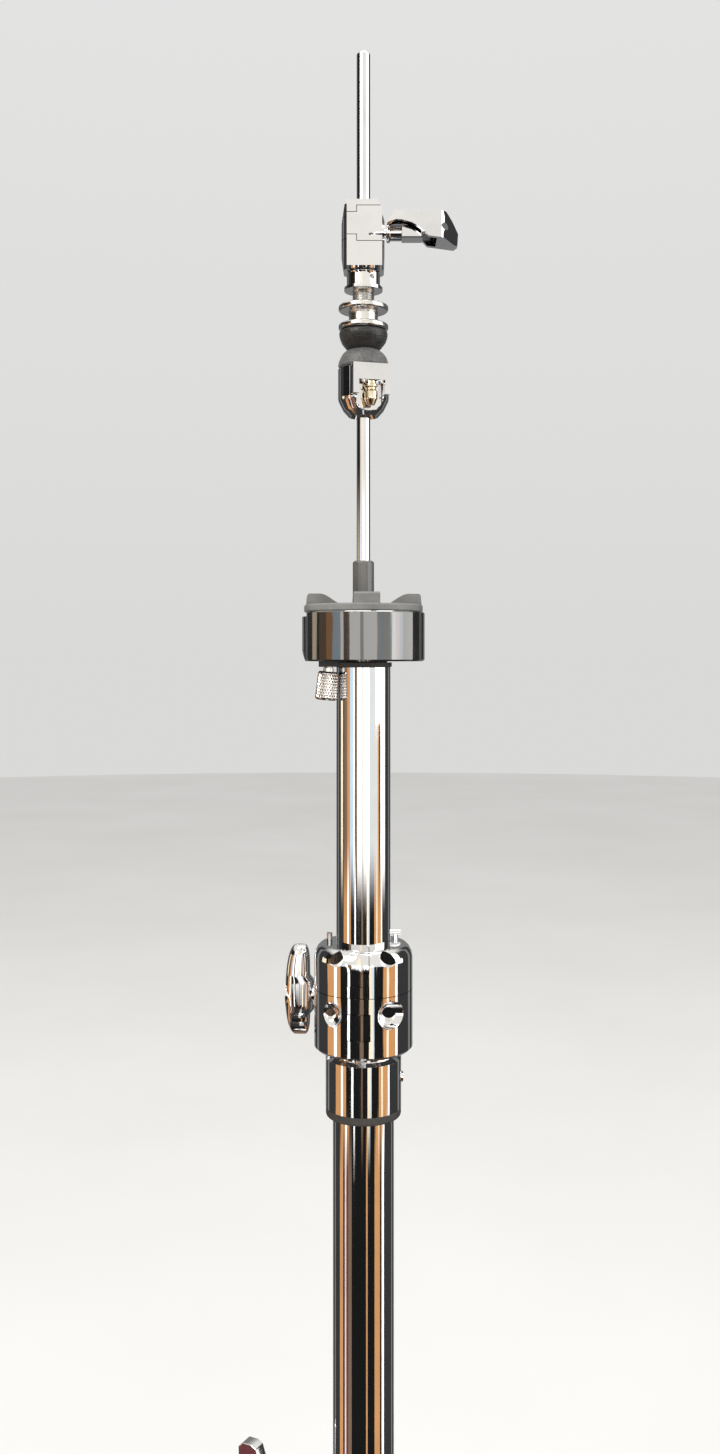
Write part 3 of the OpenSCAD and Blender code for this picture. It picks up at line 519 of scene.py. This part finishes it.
def refined_mesh(source):
    """A copy of a CAD mesh, its facets about the tube axis cut finer and set on their arcs."""
    bm = bmesh.new()
    bm.from_mesh(source)
    bmesh.ops.remove_doubles(bm, verts=bm.verts, dist=2e-6)
    bmesh.ops.dissolve_limit(bm, angle_limit=math.radians(0.5), verts=bm.verts, edges=bm.edges)
    turned = bm.faces.layers.int.new("turned")
    for face in bm.faces:
        face[turned] = is_turned(face)
    for k in range(180 // FINE_FACET):
        turn = math.radians(k * FINE_FACET)
        side = Vector((-math.sin(turn), math.cos(turn), 0))
        known = set(bm.verts)
        bmesh.ops.bisect_plane(bm, geom=bm.verts[:] + bm.edges[:] + bm.faces[:], dist=1e-7,
                               plane_co=(0, 0, 0), plane_no=side)
        for v in bm.verts:
            if v in known or not any(f[turned] for f in v.link_faces):
                continue
            ends = [e.other_vert(v).co for e in v.link_edges
                    if abs(e.other_vert(v).co.dot(side)) > 1e-6]
            if len(ends) != 2 or v.co.xy.length < 1e-4:
                continue
            share = (v.co - ends[0]).length / (ends[1] - ends[0]).length
            radius = ends[0].xy.length * (1 - share) + ends[1].xy.length * share
            v.co.xy = v.co.xy.normalized() * radius
    bm.faces.layers.int.remove(turned)
    mesh = bpy.data.meshes.new("refined")
    bm.to_mesh(mesh)
    bm.free()
    return mesh


def round_edges(obj, width, segments=3):
    """Rounds the sharp edges of a piece, `width` millimetres wide."""
    bevel = obj.modifiers.new("edges", "BEVEL")
    bevel.width = width * MM
    bevel.segments = segments
    bevel.limit_method = "ANGLE"
    bevel.angle_limit = math.radians(30)
    bevel.use_clamp_overlap = True
    obj.modifiers.new("weights", "WEIGHTED_NORMAL").keep_sharp = True


def refine(node, width):
    """Stands a finer mesh with rounded edges for a CAD node turned about the tube axis."""
    obj = piece_for(node, node + "_refined", refined_mesh(NODES[node].data))
    round_edges(obj, width)


def soften(node, width):
    """Keeps a CAD node as it is and rounds its edges with modifiers."""
    obj = NODES[node]
    finish_mesh(obj, node, 30)
    weld = obj.modifiers.new("weld", "WELD")
    weld.merge_threshold = 2e-6
    flat = obj.modifiers.new("flat", "DECIMATE")
    flat.decimate_type = "DISSOLVE"
    flat.angle_limit = math.radians(0.5)
    round_edges(obj, width)


TURNED = {
    "lower_tube": 0.4, "upper_tube": 0.3, "upper_rod": 0.3, "rod_guide": 0.4,
    "bushing_ring": 0.5, "clutch_tube": 0.08, "upper_lock_nut": 0.6, "lower_lock_nut": 0.6,
}
REFINED = {
    "clamp_left": 0.5, "clamp_right": 0.5, "memory_lock_left": 0.3, "memory_lock_right": 0.3,
    "clamp_sleeve": 0.35, "seat_cup": 0.4, "seat_rubber": 0.5, "seat_base": 0.3,
    "clutch_body": 0.35, "clutch_band": 0.35, "clutch_collar": 0.2, "bottom_nut": 0.4,
    "spring_dial": 0.3, "leg_collar": 0.6, "brace_collar": 0.8, "base_frame": 1.2,
    "spring_collar": 0.4, "rod_bush": 0.3,
}
EDGES = {
    "heel_plate": 1.0, "footboard": 0.7, "collar_wing": 1.2, "collar_lugs": 0.9,
    "clutch_wing": 0.6, "nut_key": 0.3, "wing_bolt": 0.3,
    "foot_1": 1.5, "foot_2": 1.5, "foot_3": 1.5,
}
SMALL_EDGE = 0.3


def dress_all():
    for node, corner in TURNED.items():
        turn_again(node, corner)
    for node, width in REFINED.items():
        refine(node, width)
    felt("upper_felt", 3.1)
    felt("lower_felt", 8.4)
    knurled_screw("tilt_screw")
    coil_spring("return_spring")
    cast_wing("clamp_wing", "clamp_bolt")
    for node, obj in NODES.items():
        if not obj.hide_render:
            soften(node, EDGES.get(node, SMALL_EDGE))


dress_all()


# ---------------------------------------------------------------- studio

def studio_floor():
    """A plain pale floor under the pads, with the faint mottle of painted board."""
    s = Surface("studio_floor")
    mottle = s.noise(600, detail=3)
    s.colour(s.ramp(mottle, (0.3, (0.72, 0.715, 0.7)), (0.7, (0.76, 0.755, 0.745))))
    s.roughness(s.ramp(s.noise(40), (0.3, 0.7), (0.7, 0.85)))
    bm = bmesh.new()
    bmesh.ops.create_circle(bm, cap_ends=True, radius=7, segments=96)
    mesh = bpy.data.meshes.new("floor")
    bm.to_mesh(mesh)
    bm.free()
    floor = bpy.data.objects.new("floor", mesh)
    mesh.materials.append(s.material)
    floor.visible_glossy = False
    bpy.context.scene.collection.objects.link(floor)


# What the plating mirrors, as bands of a room: (turn from the viewer's side in degrees, share of
# the brightest light). Each list is one height, and each band runs on to the next one's turn.
ROOM_LIGHT = 2.6
WHITE, SOFT_WHITE, CREAM = (0.8, 0.785, 0.75), (0.37, 0.36, 0.335), (0.5, 0.42, 0.3)
ORANGE, PINK, PALE_BLUE = (0.3, 0.15, 0.06), (0.42, 0.3, 0.27), (0.3, 0.37, 0.42)
BROWN, RED, GREY = (0.1, 0.065, 0.042), (0.07, 0.022, 0.024), (0.09, 0.09, 0.09)
CURTAIN, BLACK = (0.018, 0.018, 0.018), (0.005, 0.005, 0.005)
BEHIND_LEFT = [(-180, GREY), (-152, CURTAIN), (-139, GREY), (-129, CURTAIN)]
BEHIND_RIGHT = [(129, GREY), (139, CURTAIN), (152, GREY)]
HIGH = BEHIND_LEFT + [
    (-104, BLACK), (-66, BROWN), (-54, SOFT_WHITE), (-16, CREAM), (-8, SOFT_WHITE), (60, PINK),
    (68, BROWN), (76, WHITE), (98, CURTAIN)
] + BEHIND_RIGHT
EYE_LEVEL = BEHIND_LEFT + [
    (-112, CREAM), (-98, BLACK), (-90, BROWN), (-74, ORANGE), (-60, PALE_BLUE), (-44, WHITE),
    (-38, BROWN), (-28, WHITE), (-7, SOFT_WHITE), (-1, WHITE), (24, SOFT_WHITE),
    (33, PALE_BLUE), (38, SOFT_WHITE), (62, ORANGE), (70, BLACK), (76, WHITE), (104, CURTAIN)
] + BEHIND_RIGHT
WAIST = BEHIND_LEFT + [
    (-93, ORANGE), (-73, WHITE), (-66, ORANGE), (-56, BLACK), (-38, WHITE), (-33, BLACK),
    (-9, BROWN), (-2, BLACK), (13, CREAM), (20, PALE_BLUE), (25, BLACK), (46, ORANGE),
    (56, CREAM), (61, ORANGE), (79, WHITE), (85, CURTAIN)
] + BEHIND_RIGHT
FLOORWARD = BEHIND_LEFT + [
    (-100, ORANGE), (-84, CURTAIN), (-75, PINK), (-68, RED), (-60, BROWN), (-46, BLACK),
    (9, ORANGE), (15, BLACK), (42, ORANGE), (64, BLACK), (72, WHITE), (82, CURTAIN)
] + BEHIND_RIGHT


# Heights (sine of the elevation) over which the room changes from eye level to other bands
BAND_EDGES = [((-0.14, -0.2), WAIST), ((-0.33, -0.38), FLOORWARD), ((0.08, 0.15), HIGH)]
CEILING_AND_GROUND = [((0.5, 0.75), SOFT_WHITE), ((-0.6, -0.9), CURTAIN)]
PALE_SIDE, PALE_TOP = (0.7, 0.7, 0.69), (0.85, 0.85, 0.85)  # plain light on everything dull


class World:
    """Nodes of the studio's world, with short calls for what it needs."""

    def __init__(self):
        world = bpy.data.worlds.new("studio")
        world.use_nodes = True
        bpy.context.scene.world = world
        self.tree = world.node_tree
        self.tree.nodes.clear()

    def add(self, kind, **settings):
        node = self.tree.nodes.new(kind)
        for key, value in settings.items():
            setattr(node, key, value)
        return node

    def plug(self, socket, value):
        """Links a socket's value, or sets a plain number or colour."""
        if hasattr(value, "is_linked"):
            self.tree.links.new(value, socket)
        elif isinstance(value, (int, float)):
            socket.default_value = value
        else:
            socket.default_value = (*value, 1)

    def math(self, operation, a, b=0.0):
        node = self.add("ShaderNodeMath", operation=operation)
        self.plug(node.inputs[0], a)
        self.plug(node.inputs[1], b)
        return node.outputs["Value"]

    def mix(self, factor, a, b):
        node = self.add("ShaderNodeMix", data_type="RGBA")
        self.plug(node.inputs["Factor"], factor)
        self.plug(node.inputs[6], a)
        self.plug(node.inputs[7], b)
        return node.outputs[2]

    def fade(self, value, start, end):
        """0 up to `start`, 1 from `end`, and a smooth step between."""
        node = self.add("ShaderNodeMapRange", interpolation_type="SMOOTHSTEP")
        node.inputs["From Min"].default_value = start
        node.inputs["From Max"].default_value = end
        self.plug(node.inputs["Value"], value)
        return node.outputs["Result"]

    def bands(self, stops, turn):
        node = self.add("ShaderNodeValToRGB")
        node.color_ramp.interpolation = "CONSTANT"
        elements = node.color_ramp.elements
        while len(elements) < len(stops):
            elements.new(0.5)
        for element, (angle, colour) in zip(elements, stops):
            element.position = (angle + 180) / 360
            element.color = (*colour, 1)
        self.plug(node.inputs["Fac"], turn)
        return node.outputs["Color"]


def studio_world():
    """Plain pale light all round. Plating mirrors a room of bright and dark bands."""
    world = World()
    direction = world.add("ShaderNodeSeparateXYZ")
    world.plug(direction.inputs["Vector"], world.add("ShaderNodeTexCoord").outputs["Generated"])
    x, y, z = (direction.outputs[k] for k in "XYZ")
    turn = world.math("ARCTAN2", x, world.math("MULTIPLY", y, -1))
    turn = world.math("ADD", world.math("DIVIDE", turn, 2 * math.pi), 0.5)
    room = world.bands(EYE_LEVEL, turn)
    for (start, end), stops in BAND_EDGES:
        room = world.mix(world.fade(z, start, end), room, world.bands(stops, turn))
    for (start, end), colour in CEILING_AND_GROUND:
        room = world.mix(world.fade(z, start, end), room, colour)
    bright = world.add("ShaderNodeVectorMath", operation="SCALE")
    world.plug(bright.inputs[0], room)
    bright.inputs["Scale"].default_value = ROOM_LIGHT
    pale = world.mix(world.math("MAXIMUM", z, 0.0), PALE_SIDE, PALE_TOP)
    mirrored = world.add("ShaderNodeLightPath").outputs["Is Glossy Ray"]
    background = world.add("ShaderNodeBackground")
    world.plug(background.inputs["Color"], world.mix(mirrored, pale, bright.outputs["Vector"]))
    output = world.add("ShaderNodeOutputWorld")
    world.plug(output.inputs["Surface"], background.outputs["Background"])


def softbox(name, place, aim, width, height, power, colour):
    data = bpy.data.lights.new(name, "AREA")
    data.shape = "RECTANGLE"
    data.size, data.size_y = width, height
    data.energy = power
    data.color = colour
    lamp = bpy.data.objects.new(name, data)
    lamp.location = place
    lamp.rotation_euler = (Vector(aim) - Vector(place)).to_track_quat("-Z", "Y").to_euler()
    lamp.visible_camera = False
    bpy.context.scene.collection.objects.link(lamp)


def studio_lights():
    middle = (0, 0, 0.6)  # about the clamp
    softbox("key", (-1.4, -1.6, 2.1), middle, 1.2, 1.2, 34, (1, 0.96, 0.9))
    softbox("fill", (1.9, -0.9, 1.3), middle, 1.0, 1.6, 14, (0.93, 0.96, 1))
    softbox("top", (0.2, 0.3, 2.9), middle, 1.4, 1.4, 26, (1, 0.99, 0.97))


CAMERA_PLACE = (-0.0016, -0.598, 0.0024)  # metres, from the axis at the seat cup's lower edge
LENS, SENSOR, SHIFT = 31.57, 36, -0.0488


def camera():
    """Level camera in front of the seat. The shift only sets where the horizon falls."""
    data = bpy.data.cameras.new("camera")
    data.sensor_width = SENSOR
    data.lens = LENS
    data.shift_y = SHIFT
    data.clip_start = 0.01
    lens = bpy.data.objects.new("camera", data)
    seat = Vector((0, 0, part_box("seat_cup")[0].z))
    lens.location = seat + Vector(CAMERA_PLACE)
    lens.rotation_euler = (math.pi / 2, 0, 0)
    bpy.context.scene.collection.objects.link(lens)
    bpy.context.scene.camera = lens


studio_floor()
studio_world()
studio_lights()
camera()
bpy.context.scene.view_settings.view_transform = "Standard"
